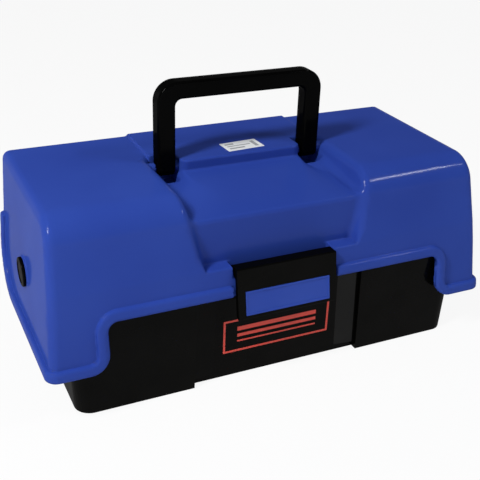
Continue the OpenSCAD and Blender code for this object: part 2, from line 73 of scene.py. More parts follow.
class Wire:
    """A shader socket, with the arithmetic that the finishes use."""

    def __init__(self, graph: "Graph", source: Any) -> None:
        """Keeps the graph that new nodes go into, and the socket."""
        self.graph = graph
        self.source = source

    def _math(self, operation: str, *values: Any) -> "Wire":
        """Adds a Math node with its operation and its inputs, and returns the result."""
        return self.graph.node("ShaderNodeMath", {"operation": operation}, dict(enumerate(values)))

    def __add__(self, other: Any) -> "Wire":
        """self + other."""
        return self._math("ADD", self, other)

    __radd__ = __add__

    def __sub__(self, other: Any) -> "Wire":
        """self - other."""
        return self._math("SUBTRACT", self, other)

    def __rsub__(self, other: Any) -> "Wire":
        """other - self."""
        return self._math("SUBTRACT", other, self)

    def __mul__(self, other: Any) -> "Wire":
        """self * other."""
        return self._math("MULTIPLY", self, other)

    __rmul__ = __mul__

    def __lt__(self, other: Any) -> "Wire":
        """1 where self is below other."""
        return self._math("LESS_THAN", self, other)

    def __gt__(self, other: Any) -> "Wire":
        """1 where self is above other."""
        return self._math("GREATER_THAN", self, other)

    def least(self, other: Any) -> "Wire":
        """The smaller of the two."""
        return self._math("MINIMUM", self, other)

    def most(self, other: Any) -> "Wire":
        """The larger of the two."""
        return self._math("MAXIMUM", self, other)

    def ramp(self, low: float, high: float, to_low: float = 0.0, to_high: float = 1.0) -> "Wire":
        """Maps low..high smoothly to to_low..to_high, held at the ends."""
        return self.graph.node("ShaderNodeMapRange", {"interpolation_type": "SMOOTHSTEP", "clamp": True},
                               dict(enumerate((self, low, high, to_low, to_high))))


class Graph:
    """The node tree of one material, or of the world."""

    def __init__(self, name: str, world: bool = False) -> None:
        """Makes an empty node tree in a new material or world.

        Args:
            name: of the material or world.
            world: whether it is the world's.
        """
        self.output = "ShaderNodeOutputWorld" if world else "ShaderNodeOutputMaterial"
        self.owner = (bpy.data.worlds if world else bpy.data.materials).new(name)
        self.owner.use_nodes = True
        self.tree = self.owner.node_tree
        self.tree.nodes.clear()

    def node(self, kind: str, settings: dict[str, Any], inputs: dict[Any, Any], output: Any = 0) -> Wire:
        """Adds any node.

        Args:
            kind: the node's type.
            settings: its properties, which are set first.
            inputs: values or wires, by socket name or number.
            output: name or number of the output that is returned.

        Returns:
            The chosen output.
        """
        made = self.tree.nodes.new(kind)
        for key, value in settings.items():
            setattr(made, key, value)
        for key, value in inputs.items():
            socket = made.inputs[key]
            if isinstance(value, Wire):
                self.tree.links.new(value.source, socket)
            else:
                socket.default_value = value
        return Wire(self, made.outputs[output])

    def place(self) -> Wire:
        """Position on the object, in metres, in the object's own frame."""
        return self.node("ShaderNodeTexCoord", {}, {}, "Object")

    def parts(self, vector: Wire) -> tuple[Wire, Wire, Wire]:
        """X, Y and Z of a vector."""
        outputs = self.node("ShaderNodeSeparateXYZ", {}, {0: vector}).source.node.outputs
        return tuple(Wire(self, outputs[i]) for i in range(3))

    def noise(self, vector: Wire, scale: float, detail: float = 3.0, roughness: float = 0.5) -> Wire:
        """Soft noise from about 0 to 1."""
        inputs = {"Vector": vector, "Scale": scale, "Detail": detail, "Roughness": roughness}
        return self.node("ShaderNodeTexNoise", {}, inputs, "Fac")

    def mix(self, factor: Any, first: Any, second: Any) -> Wire:
        """Mixes two colours."""
        inputs = {0: factor, 6: _rgba(first), 7: _rgba(second)}
        return self.node("ShaderNodeMix", {"data_type": "RGBA"}, inputs, 2)

    def bump(self, height: Wire, strength: float, distance: float) -> Wire:
        """Normal from a height."""
        return self.node("ShaderNodeBump", {}, {"Strength": strength, "Distance": distance, "Height": height})

    def surface(self, **inputs: Any) -> Wire:
        """Adds the Principled shader.

        Args:
            **inputs: values or wires, by the socket's name with its words joined by underscores.

        Returns:
            The shader.
        """
        named = {key.replace("_", " "): value for key, value in inputs.items()}
        named["Base Color"] = _rgba(named["Base Color"])
        return self.node("ShaderNodeBsdfPrincipled", {}, named)

    def rays(self) -> tuple[Wire, Wire]:
        """Tells the rays apart.

        Returns:
            1 for rays from the camera, and 1 for mirrored or transmitted ones.
        """
        camera = self.node("ShaderNodeLightPath", {}, {}, "Is Camera Ray")
        outputs = camera.source.node.outputs
        return camera, Wire(self, outputs["Is Glossy Ray"]).most(Wire(self, outputs["Is Transmission Ray"]))

    def finish(self, shader: Wire) -> Union[bpy.types.Material, bpy.types.World]:
        """Sends the shader to the output.

        Args:
            shader: what the surface or the world shows.

        Returns:
            The material or the world.
        """
        out = self.tree.nodes.new(self.output)
        self.tree.links.new(shader.source, out.inputs["Surface"])
        return self.owner


def _rgba(value: Any) -> Any:
    """A colour with its alpha; wires pass through."""
    return value if isinstance(value, Wire) else (*value, 1)


# ------------------------------------------------------------------ finishes


@dataclass(frozen=True)
class Moulded:
    """Injection-moulded plastic: a gloss that wanders with the wall, fine grain, sink marks and rubs."""

    name: str
    colour: Colour
    shade: Colour
    roughness: float = 0.5
    spread: float = 0.06
    ripple: float = 0.4
    grain: float = 0.02
    grain_scale: float = 900.0
    coat: float = 0.11
    coat_roughness: float = 0.12
    specular: float = 0.0
    sink_scale: float = 9.0
    cloud_scale: float = 34.0
    rub_scale: float = 130.0
    relief: float = 0.0015

    def build(self) -> bpy.types.Material:
        """Makes the material.

        Returns:
            The material.
        """
        g = Graph(self.name)
        at = g.place()
        broad = g.noise(at, self.sink_scale, 2.0)
        cloud = g.noise(at, self.cloud_scale, 3.0)
        fine = g.noise(at, self.grain_scale, 2.0, 0.6)
        rubs = g.noise(at, self.rub_scale, 5.0, 0.7).ramp(0.6, 0.78)
        colour = g.mix(broad.ramp(0.3, 0.7) * 0.8, self.colour, self.shade)
        rough = self.roughness + (cloud - 0.5) * self.spread + (broad - 0.5) * self.spread + rubs * 0.05
        height = broad * self.ripple + cloud * (self.ripple * 0.12) + fine * self.grain
        coat = self.coat * (1 + (cloud - 0.5) * 0.4 - rubs * 0.3)
        return g.finish(g.surface(Base_Color=colour, Roughness=rough, Coat_Weight=coat,
                                  Coat_Roughness=self.coat_roughness, Specular_IOR_Level=self.specular,
                                  Normal=g.bump(height, 1.0, self.relief)))


@dataclass(frozen=True)
class Plated:
    """Zinc-plated steel with a drawn grain along X."""

    name: str
    colour: Colour = (0.62, 0.63, 0.64)
    roughness: float = 0.3
    drawn_scale: Triple = (40, 900, 900)
    spangle_scale: float = 260.0
    relief: float = 0.0002

    def build(self) -> bpy.types.Material:
        """Makes the material.

        Returns:
            The material.
        """
        g = Graph(self.name)
        at = g.place()
        along = g.node("ShaderNodeMapping", {}, {"Vector": at, "Scale": self.drawn_scale})
        drawn = g.noise(along, 1.0, 3.0)
        spangle = g.noise(at, self.spangle_scale, 2.0)
        colour = g.mix(spangle.ramp(0.35, 0.7), self.colour, darker(self.colour, 0.82))
        rough = self.roughness + (drawn - 0.5) * 0.12 + (spangle - 0.5) * 0.1
        return g.finish(g.surface(Base_Color=colour, Metallic=1.0, Roughness=rough,
                                  Normal=g.bump(drawn, 0.15, self.relief)))


@dataclass(frozen=True)
class Paper:
    """Coated label paper, printed with plain soft bars over its own UV square.

    Each bar holds its least and greatest U, then its least and greatest V.
    """

    name: str
    paper: Colour
    ink: Colour
    bars: tuple[tuple[float, float, float, float], ...] = (
        (0.1, 0.52, 0.2, 0.34), (0.1, 0.74, 0.48, 0.58), (0.1, 0.34, 0.7, 0.84), (0.8, 0.9, 0.18, 0.84))
    strength: float = 0.75
    roughness: float = 0.4
    fibre_scale: float = 2200.0
    relief: float = 0.0001

    def build(self) -> bpy.types.Material:
        """Makes the material.

        Returns:
            The material.
        """
        g = Graph(self.name)
        u, v, _ = g.parts(g.node("ShaderNodeTexCoord", {}, {}, "UV"))
        fibre = g.noise(g.place(), self.fibre_scale, 3.0)
        ink = sum((u > u0) * (u < u1) * (v > v0) * (v < v1) for u0, u1, v0, v1 in self.bars)
        colour = g.mix(ink.least(1.0) * self.strength, self.paper, self.ink)
        return g.finish(g.surface(Base_Color=colour, Roughness=self.roughness + (fibre - 0.5) * 0.2,
                                  Normal=g.bump(fibre, 0.2, self.relief)))


@dataclass(frozen=True)
class Ink:
    """Printed ink film with a faint screen texture."""

    name: str
    colour: Colour
    roughness: float = 0.36
    screen_scale: float = 700.0
    relief: float = 0.0001

    def build(self) -> bpy.types.Material:
        """Makes the material.

        Returns:
            The material.
        """
        g = Graph(self.name)
        mottle = g.noise(g.place(), self.screen_scale, 3.0)
        colour = g.mix(mottle.ramp(0.3, 0.8) * 0.35, self.colour, darker(self.colour, 0.72))
        return g.finish(g.surface(Base_Color=colour, Roughness=self.roughness + (mottle - 0.5) * 0.16,
                                  Normal=g.bump(mottle, 0.1, self.relief)))


class Slot(Enum):
    """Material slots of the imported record."""

    BLUE = "blue_plastic"
    BLACK = "black_plastic"
    BADGE = "badge_blue"
    GREY = "grey_plastic"
    STEEL = "steel"


FINISHES = {
    Slot.BLUE: Moulded("blue moulding", linear(43, 67, 155), linear(48, 74, 164), spread=0.05,
                       grain=0.028, grain_scale=560.0, coat=0.16),
    Slot.BLACK: Moulded("black moulding", linear(5, 5, 4), linear(8, 7, 6)),
    Slot.BADGE: Moulded("badge moulding", linear(44, 72, 166), linear(48, 77, 172), spread=0.05,
                        ripple=0.1, coat=0.3),
    Slot.GREY: Moulded("tray moulding", linear(146, 150, 156), linear(152, 156, 161), roughness=0.42,
                       ripple=0.3, grain=0.08, coat=0.0, specular=0.4),
    Slot.STEEL: Plated("zinc plated steel"),
}
# Right recess slope only: a slightly lighter black than the base's is a painted sheen where that slope
# catches light; its stronger coat is real gloss.
RIGHT_SLOPE_SHEEN_FINISH = Moulded("black moulding with painted sheen", linear(8, 8, 7), linear(11, 10, 9), ripple=0.3, coat=0.3)
HANDLE_FINISH = Moulded("handle moulding", linear(3, 3, 3), linear(5, 5, 5), ripple=0.3, coat=0.05)
LABEL_FINISH = Paper("label paper", linear(236, 238, 240), linear(120, 122, 128))
PRINT_FINISH = Ink("red ink", linear(226, 62, 44))


# ------------------------------------------------------------------ pieces


def dress(piece: bpy.types.Object, material: bpy.types.Material) -> None:
    """Puts one material on the whole piece."""
    piece.data.materials.clear()
    piece.data.materials.append(material)


def stand(mesh: bpy.types.Mesh) -> bpy.types.Object:
    """Puts a mesh into the scene and reports it.

    Args:
        mesh: the piece's mesh, which also gives its name.

    Returns:
        The object.
    """
    made = bpy.data.objects.new(mesh.name, mesh)
    bpy.context.scene.collection.objects.link(made)
    LOG.info("%s: %d vertices, %d faces", mesh.name, len(mesh.vertices), len(mesh.polygons))
    return made


def stand_bmesh(name: str, bm: bmesh.types.BMesh) -> bpy.types.Object:
    """Turns a finished bmesh into an object.

    Args:
        name: the piece's name.
        bm: its geometry, in metres, which is freed.

    Returns:
        The object.
    """
    mesh = bpy.data.meshes.new(name)
    bm.to_mesh(mesh)
    bm.free()
    return stand(mesh)


# ------------------------------------------------------------------ solid fields, in millimetres


def both(a: np.ndarray, b: np.ndarray, r: Radius = 0.0) -> np.ndarray:
    """Where both solids are, with their shared edge rounded to radius r."""
    return np.minimum(np.maximum(a, b), -r) + np.hypot(np.maximum(a + r, 0), np.maximum(b + r, 0))


def either(a: np.ndarray, b: np.ndarray, r: Radius = 0.0) -> np.ndarray:
    """Where either solid is, with a fillet of radius r in the corner between them."""
    return -both(-a, -b, r)


def less(a: np.ndarray, b: np.ndarray, r: Radius = 0.0) -> np.ndarray:
    """The first solid without the second, with the cut's edge rounded to radius r."""
    return both(a, -b, r)


def fade(value: np.ndarray, low: float, high: float) -> np.ndarray:
    """0 below low, 1 above high and straight between them."""
    return np.clip((value - low) / (high - low), 0, 1)


def slab(value: np.ndarray, low: float, high: float) -> np.ndarray:
    """Between two planes."""
    return np.abs(value - (low + high) / 2) - (high - low) / 2


def line(y: np.ndarray, z: np.ndarray, at: Pair, slope: float) -> np.ndarray:
    """Distance behind a wall whose Y grows by slope for each millimetre of height, through at."""
    return (at[0] + (z - at[1]) * slope - y) / math.hypot(1, slope)


@dataclass(frozen=True)
class Bar:
    """Round bar along X from start to end, the same on both sides of the middle; at is its Y and Z."""

    at: Pair
    r: float
    start: float
    end: float
    rim: float = 0.5

    def distance(self, p: Points) -> np.ndarray:
        """Signed distance at points (x, y, z)."""
        along = slab(np.abs(p[0]), self.start, self.end)
        return both(np.hypot(p[1] - self.at[0], p[2] - self.at[1]) - self.r, along, self.rim)


@dataclass
class Casting:
    """A piece whose surface is the zero level of a distance field."""

    name: str
    low: Triple
    high: Triple
    pitch: float
    merge: float = 0.0
    band: int = 4
    settle: int = 4
    settle_reach: float = 0.02
    normal_reach: float = 0.05

    def distance(self, p: Points) -> np.ndarray:
        """Signed distance in millimetres at points (x, y, z), negative inside."""
        raise NotImplementedError

    def gradient(self, p: Points, reach: float) -> Points:
        """Unit direction in which the distance grows.

        Args:
            p: points as (x, y, z).
            reach: how far to each side it is measured.

        Returns:
            The directions.
        """
        columns = []
        for axis in range(3):
            ahead, behind = p.copy(), p.copy()
            ahead[axis] += reach
            behind[axis] -= reach
            columns.append(self.distance(ahead) - self.distance(behind))
        g = np.stack(columns)
        return g / np.maximum(np.sqrt((g ** 2).sum(0)), 1e-9)

    def mesh(self) -> bpy.types.Object:
        """Builds the piece's mesh.

        Returns:
            The object, with its vertices on the exact surface and its shading normals from the field.
        """
        axes = [np.arange(lo, hi + self.pitch, self.pitch) for lo, hi in zip(self.low, self.high)]
        grid = np.stack(np.meshgrid(*axes, indexing="ij")).astype(np.float32)
        field_values = self.distance(grid).astype(np.float32)
        reach = self.pitch * self.band
        level = openvdb.FloatGrid(float(reach))
        level.copyFromArray(np.clip(field_values, -reach, reach))
        points, triangles, quads = level.convertToPolygons(0.0, self.merge)
        p = points.T.astype(float) * self.pitch + np.array(self.low)[:, None]
        for _ in range(self.settle):
            move = np.clip(self.distance(p), -self.pitch / 2, self.pitch / 2)
            p = p - move * self.gradient(p, self.settle_reach)
        normals = self.gradient(p, self.normal_reach)
        mesh = bpy.data.meshes.new(self.name)
        mesh.from_pydata((p.T * MM).tolist(), [], quads.tolist() + triangles.tolist())
        mesh.validate()
        mesh.polygons.foreach_set("use_smooth", [True] * len(mesh.polygons))
        mesh.normals_split_custom_set_from_vertices(normals.T.tolist())
        mesh.update()
        return stand(mesh)


# ------------------------------------------------------------------ lid


@dataclass
class LidMoulding(Casting):
    """Blue lid: two rounded shoulders, a saddle with a hump and handle pockets, and a thick lip."""

    name: str = "lid_moulding"
    low: Triple = (-208.0, -96.0, 38.0)
    high: Triple = (208.0, 96.0, 176.0)
    pitch: float = 1.3
    merge: float = 0.05
    # The block: its wall, top, back, ends and front, whose draft grows towards the top.
    wall: float = 2.6
    wall_r: float = 0.6
    top: float = 168.8
    back: float = 91.8
    back_r: float = 4.4
    end: Pair = (201.5, 44.0)
    end_draft: float = 0.072
    front: Pair = (-82.3, 90.0)
    front_drafts: Triple = (0.13, 0.171, 0.232)
    shoulder_r: float = 20.0
    corner_r: float = 7.0
    # The lower edge: level at the sides, raised over the latch, swept up at the back.
    drop_z: float = 44.0
    lip_z: float = 85.5
    drop_half: float = 153.8
    edge_back: float = 88.0
    edge_split: float = -40.0
    edge_sweeps: Triple = (48.0, 8.0, 16.0)
    edge_top: float = 103.0
    edge_r: float = 0.8
    # The thick lip along the lower edge, with a gap for the latch.
    lip_out: float = 3.5
    lip_in: float = 1.0
    lip_depth: float = 9.5
    lip_top: float = 113.5
    lip_r: float = 2.2
    lip_foot_r: float = 2.6
    lip_front: float = -60.0
    lip_gap: float = 48.2
    # The saddle between the shoulders: ledge, face, ridge, valleys with their walls, and the hump.
    ledge_z: float = 110.0
    ledge_r: float = 1.2
    face_draft: float = 0.02
    ridge: Pair = (-65.8, 149.5)
    ridge_r: float = 2.2
    valley_rise: float = 0.06
    valley_wall: Pair = (71.2, 114.0)
    valley_draft: float = 0.2
    fillet: float = 5.0
    fillet_growth: float = 3.0
    crest: Pair = (1.6, 4.4)
    crest_from: Pair = (60.0, 72.0)
    hump_z: float = 161.0
    hump_half: float = 57.5
    flank: Pair = (54.5, 62.0)
    flank_spread: Pair = (12.0, 30.0)
    flank_end: float = -30.0
    # The platform on the hump, the deck behind it and the pockets for the handle's feet.
    plat_z: float = 170.8
    plat_y: float = 8.0
    plat_half: float = 80.0
    plat_foot: float = 120.0
    plat_rounds: Pair = (7.0, 1.5)
    deck_rounds: Pair = (2.0, 1.2)
    plat_blend: float = 1.2
    blend_z: Pair = (155.0, 159.0)
    blend_y: Pair = (-84.0, -80.0)
    pocket_y: float = 30.0
    pocket_gap: float = 1.3
    pocket_end: float = 4.0
    slot_x: Pair = (59.4, 79.6)
    slot_y: float = 5.5
    slot_z: float = 147.0
    slot_r: float = 2.0
    # The pivot caps' seats, the collars of the handle's pins and the hinge knuckles with their arms.
    bosses: tuple[Bar, ...] = (Bar((3, 95), 6, 177.5, 196), Bar((3, 95), 13.6, 195.6, 198.8, 0.8),
                               Bar((19.5, 163), 4.4, 51.5, 60.6), Bar((19.5, 163), 4.4, 77.5, 84))
    boss_r: float = 0.8
    hinge: Pair = (85.2, 99.5)
    hinge_r: float = 4.2
    knuckles: tuple[Pair, ...] = ((103.2, 114.2), (125.6, 136.6))
    knuckle_blend: float = 0.4
    arm_y: Pair = (84.2, 91.4)
    arm_z: Pair = (96.6, 110.0)
    arm_r: float = 0.5
    arm_foot: float = 88.2
    arm_slope: float = 2.0
    arm_length: float = 2.24
    # Half width, back and floor of the room behind the latch and of the recess in front of it.
    latch_room: Triple = (49.4, -64.2, 98.0)
    latch_recess: Triple = (46.8, -66.7, 100.6)

    def block(self, x: np.ndarray, y: np.ndarray, z: np.ndarray) -> np.ndarray:
        """The drafted block that the lid is cut from, without its saddle.

        Args:
            x: distances from the middle plane.
            y: places from front to back.
            z: heights.

        Returns:
            Distances.
        """
        side = (x - (self.end[0] - (z - self.end[1]) * self.end_draft)) / math.hypot(1, self.end_draft)
        foot, waist, shoulder = self.front_drafts
        bend = (self.front[0] + (self.ledge_z - self.front[1]) * waist, self.ledge_z)
        front = np.maximum(np.maximum(line(y, z, self.front, foot), line(y, z, self.front, waist)),
                           line(y, z, bend, shoulder))
        main = both(both(front, z - self.top, self.shoulder_r), side, self.corner_r)
        return both(main, y - self.back, self.back_r)

    def saddle(self, x: np.ndarray, y: np.ndarray, z: np.ndarray) -> np.ndarray:
        """What stands between the shoulders: front face, ridge, valley floors, hump and deck.

        Args:
            x: distances from the middle plane.
            y: places from front to back.
            z: heights.

        Returns:
            Distances.
        """
        ry, rz = self.ridge
        face = line(y, z, self.ridge, self.face_draft)
        slope = (self.hump_z - rz) / (self.plat_y - ry)
        widen = fade(-y, -self.pocket_end, -self.flank_end)
        inner, outer = self.flank
        shift, spread = self.flank_spread
        flank = fade((x - inner + shift * widen) / (outer - inner + spread * widen), 0, 1)
        hump = np.maximum(y - ry, 0) * (slope - self.valley_rise) * (1 - flank ** 2 * (3 - 2 * flank))
        top = rz + (y - ry) * self.valley_rise + hump
        stands = both((z - top) / math.hypot(1, slope), face, self.ridge_r)
        deck_y = self.pocket_y + self.pocket_gap
        stands = either(stands, deck_y - y, 1)
        wall_x, wall_z = self.valley_wall
        wall = ((wall_x + (z - wall_z) * self.valley_draft) - x) / math.hypot(1, self.valley_draft)
        stands = either(stands, wall, self.fillet + self.fillet_growth * fade(y, -50, 0))
        slot = both(both(slab(x, *self.slot_x), slab(y, self.slot_y, deck_y), self.slot_r), self.slot_z - z)
        return less(stands, slot, self.edge_r)

    def body(self, x: np.ndarray, y: np.ndarray, z: np.ndarray) -> np.ndarray:
        """The lid's outside as a full solid.

        Args:
            x: distances from the middle plane.
            y: places from front to back.
            z: heights.

        Returns:
            Distances.
        """
        stands = either(self.saddle(x, y, z), z - self.ledge_z, self.ledge_r)
        least, growth = self.crest
        crest = growth * fade(z, self.ledge_z + 1, self.ledge_z + 10) * fade(x, *self.crest_from)
        solid = both(self.block(x, y, z), stands, least + crest)
        rim = both(z - self.plat_z, y - self.back, self.back_r)
        raised = []
        for half, front, (corner_r, rim_r) in ((self.hump_half, self.plat_y, self.plat_rounds),
                                               (self.plat_half, self.pocket_y, self.deck_rounds)):
            raised.append(both(both(both(x - half, front - y, corner_r), rim, rim_r), self.plat_foot - z))
        near_top = fade(z, *self.blend_z) * fade(-y, *self.blend_y)
        return either(solid, np.minimum(*raised), self.plat_blend * near_top)

    def edge(self, x: np.ndarray, y: np.ndarray, z: np.ndarray) -> np.ndarray:
        """Distance past the lower edge, which drops at the corners and sweeps up at the back.

        Args:
            x: distances from the middle plane.
            y: places from front to back.
            z: heights.

        Returns:
            Distances.
        """
        rear, step, corner = self.edge_sweeps
        level = self.drop_z - z
        sides = both(level, y - self.edge_back, rear)
        front = both(either(self.lip_z - z, self.drop_half - x, step), level, corner)
        return np.where(y < self.edge_split, front, sides)

    def knuckle(self, p: Points, low: float, high: float) -> np.ndarray:
        """One hinge knuckle on each side, with the arm that joins it to the back wall.

        Args:
            p: points as (x, y, z).
            low: nearer end along X.
            high: farther end.

        Returns:
            Distances.
        """
        x, y, z = np.abs(p[0]), p[1], p[2]
        front, back = self.arm_y
        arm = both(both(both(front - y, y - back), slab(z, *self.arm_z)), slab(x, low, high), self.arm_r)
        under = z - self.arm_z[0] - (y - self.arm_foot) * self.arm_slope
        arm = both(arm, -under / self.arm_length, self.arm_r)
        return either(Bar(self.hinge, self.hinge_r, low, high).distance(p), arm)

    def distance(self, p: Points) -> np.ndarray:
        """Signed distance to the lid.

        Args:
            p: points as (x, y, z).

        Returns:
            Distances, negative inside.
        """
        x, y, z = np.abs(p[0]), p[1], p[2]
        body = self.body(x, y, z)
        edge = self.edge(x, y, z)
        half, back, floor = self.latch_room
        room = both(both(both(x - half, y - back, 1), body, self.wall_r), floor - z, 1)
        shell = np.minimum(both(body, -(body + self.wall), self.wall_r), room)
        cut = np.where(z > self.edge_top, np.minimum(edge, self.edge_top - z), edge)
        shell = both(shell, cut, self.edge_r)
        block = self.block(x, y, z)
        lip = both(block - self.lip_out, -(block + self.lip_in))
        lip = both(both(lip, -edge - self.lip_depth, self.lip_r), z - self.lip_top, self.lip_r)
        gap = np.where(y < self.lip_front, self.lip_gap - x, -9.0)
        lip = both(both(lip, edge, self.lip_foot_r), gap, self.edge_r)
        solid = either(shell, lip, self.edge_r * fade(-edge, 0.5, 4))
        for boss in self.bosses:
            solid = either(solid, boss.distance(p), self.boss_r)
        for low, high in self.knuckles:
            solid = either(solid, self.knuckle(p, low, high), self.knuckle_blend)
        half, back, floor = self.latch_recess
        return less(solid, both(both(x - half, y - back, 1.5), floor - z, 1), self.edge_r)


# ------------------------------------------------------------------ handle


@dataclass
class HandleMoulding(Casting):
    """Black carrying handle: a flat bar bent twice, with round feet that turn in the lid's pockets."""

    name: str = "handle_moulding"
    low: Triple = (-79.0, 10.0, 153.0)
    high: Triple = (79.0, 29.0, 241.0)
    pitch: float = 0.9
    merge: float = 0.02
    half: float = 77.0
    top: float = 238.4
    leg: float = 16.0
    grip: float = 15.0
    depth: float = 15.0
    edge: float = 2.4
    outer_r: float = 18.0
    inner_r: float = 6.0
    pin: Pair = (19.5, 163.0)

    def distance(self, p: Points) -> np.ndarray:
        """Signed distance to the handle.

        Args:
            p: points as (x, y, z).

        Returns:
            Distances, negative inside.
        """
        x, y, z = np.abs(p[0]), p[1], p[2]
        outer = both(both(x - self.half, z - self.top, self.outer_r), self.pin[1] - z)
        inner = both(x - (self.half - self.leg), z - (self.top - self.grip), self.inner_r)
        flat = np.abs(y - self.pin[0]) - self.depth / 2
        bow = both(less(outer, inner), flat, self.edge)
        feet = Bar(self.pin, self.depth / 2, self.half - self.leg, self.half, self.edge)
        return np.minimum(bow, feet.distance(p))


# ------------------------------------------------------------------ label, print and slopes


def ribbon(name: str, outline: Sequence[Pair], thickness: float, place: Matrix,
           hole: Sequence[Pair] = ()) -> bpy.types.Object:
    """Thin flat piece, such as a label or a film of ink.

    Args:
        name: the piece's name.
        outline: its corners in its own plane, in millimetres, anticlockwise.
        thickness: in millimetres.
        place: where its plane's centre and axes are, in millimetres.
        hole: outline that is left open, with one corner for each corner of the outline.

    Returns:
        The object, with UVs over its own square.
    """
    bm = bmesh.new()
    uv = bm.loops.layers.uv.new("UVMap")
    low = np.min(outline, axis=0)
    span = np.ptp(outline, axis=0)
    outlines = (outline, hole) if hole else (outline,)
    rings = [[[bm.verts.new((a, b, height)) for a, b in ring] for height in (0.0, thickness)]
             for ring in outlines]
    turns = [(i, (i + 1) % len(outline)) for i in range(len(outline))]
    for lower, upper in rings:
        for i, j in turns:
            bm.faces.new((lower[i], lower[j], upper[j], upper[i]))
    if hole:
        (a_low, a_high), (b_low, b_high) = rings
        for i, j in turns:
            bm.faces.new((b_low[i], b_low[j], a_low[j], a_low[i]))
            bm.faces.new((a_high[i], a_high[j], b_high[j], b_high[i]))
    else:
        bm.faces.new(rings[0][0][::-1])
        bm.faces.new(rings[0][1])
    bmesh.ops.recalc_face_normals(bm, faces=bm.faces)
    for face in bm.faces:
        for loop in face.loops:
            loop[uv].uv = [(loop.vert.co[k] - low[k]) / span[k] for k in (0, 1)]
    bm.transform(Matrix.Scale(MM, 4) @ place)
    return stand_bmesh(name, bm)


def rounded_rectangle(half_a: float, half_b: float, r: float, steps: int = 6) -> list[Pair]:
    """Rectangle with round corners.

    Args:
        half_a: half its width.
        half_b: half its height.
        r: radius of its corners.
        steps: edges in each corner.

    Returns:
        Its corners, anticlockwise round its centre.
    """
    points = []
    for ca, cb, start in ((1, 1, 0), (-1, 1, 90), (-1, -1, 180), (1, -1, 270)):
        for i in range(steps + 1):
            angle = math.radians(start + 90 * i / steps)
            points.append((ca * (half_a - r) + r * math.cos(angle), cb * (half_b - r) + r * math.sin(angle)))
    return points


def plane(origin: Sequence[float], right: Sequence[float], up: Sequence[float]) -> Matrix:
    """Plane through a point.

    Args:
        origin: the point.
        right: direction of its first axis.
        up: direction that its second axis follows.

    Returns:
        Its matrix.
    """
    a = Vector(right).normalized()
    b = (Vector(up) - Vector(up).dot(a) * a).normalized()
    turn = Matrix((a, b, a.cross(b))).transposed().to_4x4()
    return Matrix.Translation(Vector(origin)) @ turn


@dataclass
class Markings:
    """The price label on the hump and the plain red print on the base's front panel.

    Each bar of the print holds its name and its lowest and highest place from the print's middle.
    """

    film: float = 0.12
    label_half: Pair = (18.0, 10.0)
    label_corner: float = 0.8
    label_at: Triple = (7.0, 26.0, 170.82)
    label_turn: float = 4.0
    print_half: Pair = (51.0, 16.0)
    print_corner: float = 0.6
    print_line: float = 1.9
    print_y: float = -72.22
    print_z: float = 39.2
    bars: tuple[tuple[str, float, float], ...] = (
        ("print_bar_1", 4.5, 8.5), ("print_bar_2", -1.5, 1.5), ("print_bar_3", -6.5, -5.0))
    bar_half: float = 38.0
    bar_corner: float = 0.3

    def label(self) -> None:
        """Makes the price label."""
        turn = math.radians(self.label_turn)
        cos, sin = math.cos(turn), math.sin(turn)
        outline = rounded_rectangle(*self.label_half, self.label_corner)
        label = ribbon("price_label", outline, self.film, plane(self.label_at, (cos, sin, 0), (-sin, cos, 0)))
        dress(label, LABEL_FINISH.build())
        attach(label, "lid")

    def upright(self, height: float) -> Matrix:
        """The plane of the print, at a height above its middle."""
        return plane((0, self.print_y, self.print_z + height), (1, 0, 0), (0, 0, 1))

    def frame_and_bars(self) -> None:
        """Makes the print."""
        ink = PRINT_FINISH.build()
        half, rise = self.print_half
        inside = rounded_rectangle(half - self.print_line, rise - self.print_line, self.bar_corner)
        made = [ribbon("print_frame", rounded_rectangle(half, rise, self.print_corner), self.film,
                       self.upright(0), inside)]
        for name, low, high in self.bars:
            outline = rounded_rectangle(self.bar_half, (high - low) / 2, self.bar_corner)
            made.append(ribbon(name, outline, self.film, self.upright((low + high) / 2)))
        for piece in made:
            dress(piece, ink)
            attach(piece, "base")

    def build(self) -> None:
        """Makes the label and the print."""
        self.label()
        self.frame_and_bars()


@dataclass
class RecessSlopes:
    """Slanted ends of the base's front panel, one on each side, as wedges inside its recess."""

    width: float = 20.0
    halves: Pair = (79.4, 77.0)
    levels: Pair = (5.5, 83.6)
    front_y: float = -74.6
    panel_y: float = -72.15
    faces: tuple[tuple[int, ...], ...] = ((0, 1, 2), (3, 5, 4), (0, 3, 4, 1), (1, 4, 5, 2), (2, 5, 3, 0))

    def wedge(self, name: str, side: int) -> bpy.types.Object:
        """Makes one slope.

        Args:
            name: the piece's name.
            side: -1 for the left one, 1 for the right one.

        Returns:
            The object.
        """
        bm = bmesh.new()
        corners = []
        for half, z in zip(self.halves, self.levels):
            for x, y in ((half - self.width, self.panel_y), (half, self.panel_y), (half, self.front_y)):
                corners.append(bm.verts.new((side * x * MM, y * MM, z * MM)))
        for face in self.faces:
            bm.faces.new([corners[i] for i in face])
        bmesh.ops.recalc_face_normals(bm, faces=bm.faces)
        return stand_bmesh(name, bm)

    def build(self, plain: bpy.types.Material) -> None:
        """Makes both slopes.

        Args:
            plain: the base's plastic; the slope on the right gets a slightly lighter black with a stronger
                coat, partly real gloss and partly a painted sheen.
        """
        for name, side in (("recess_slope_left", -1), ("recess_slope_right", 1)):
            made = self.wedge(name, side)
            # the right slope alone gets the lighter, glossier black: a painted sheen, partly real gloss
            dress(made, RIGHT_SLOPE_SHEEN_FINISH.build() if side > 0 else plain)
            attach(made, "base")


# ------------------------------------------------------------------ shells and fittings


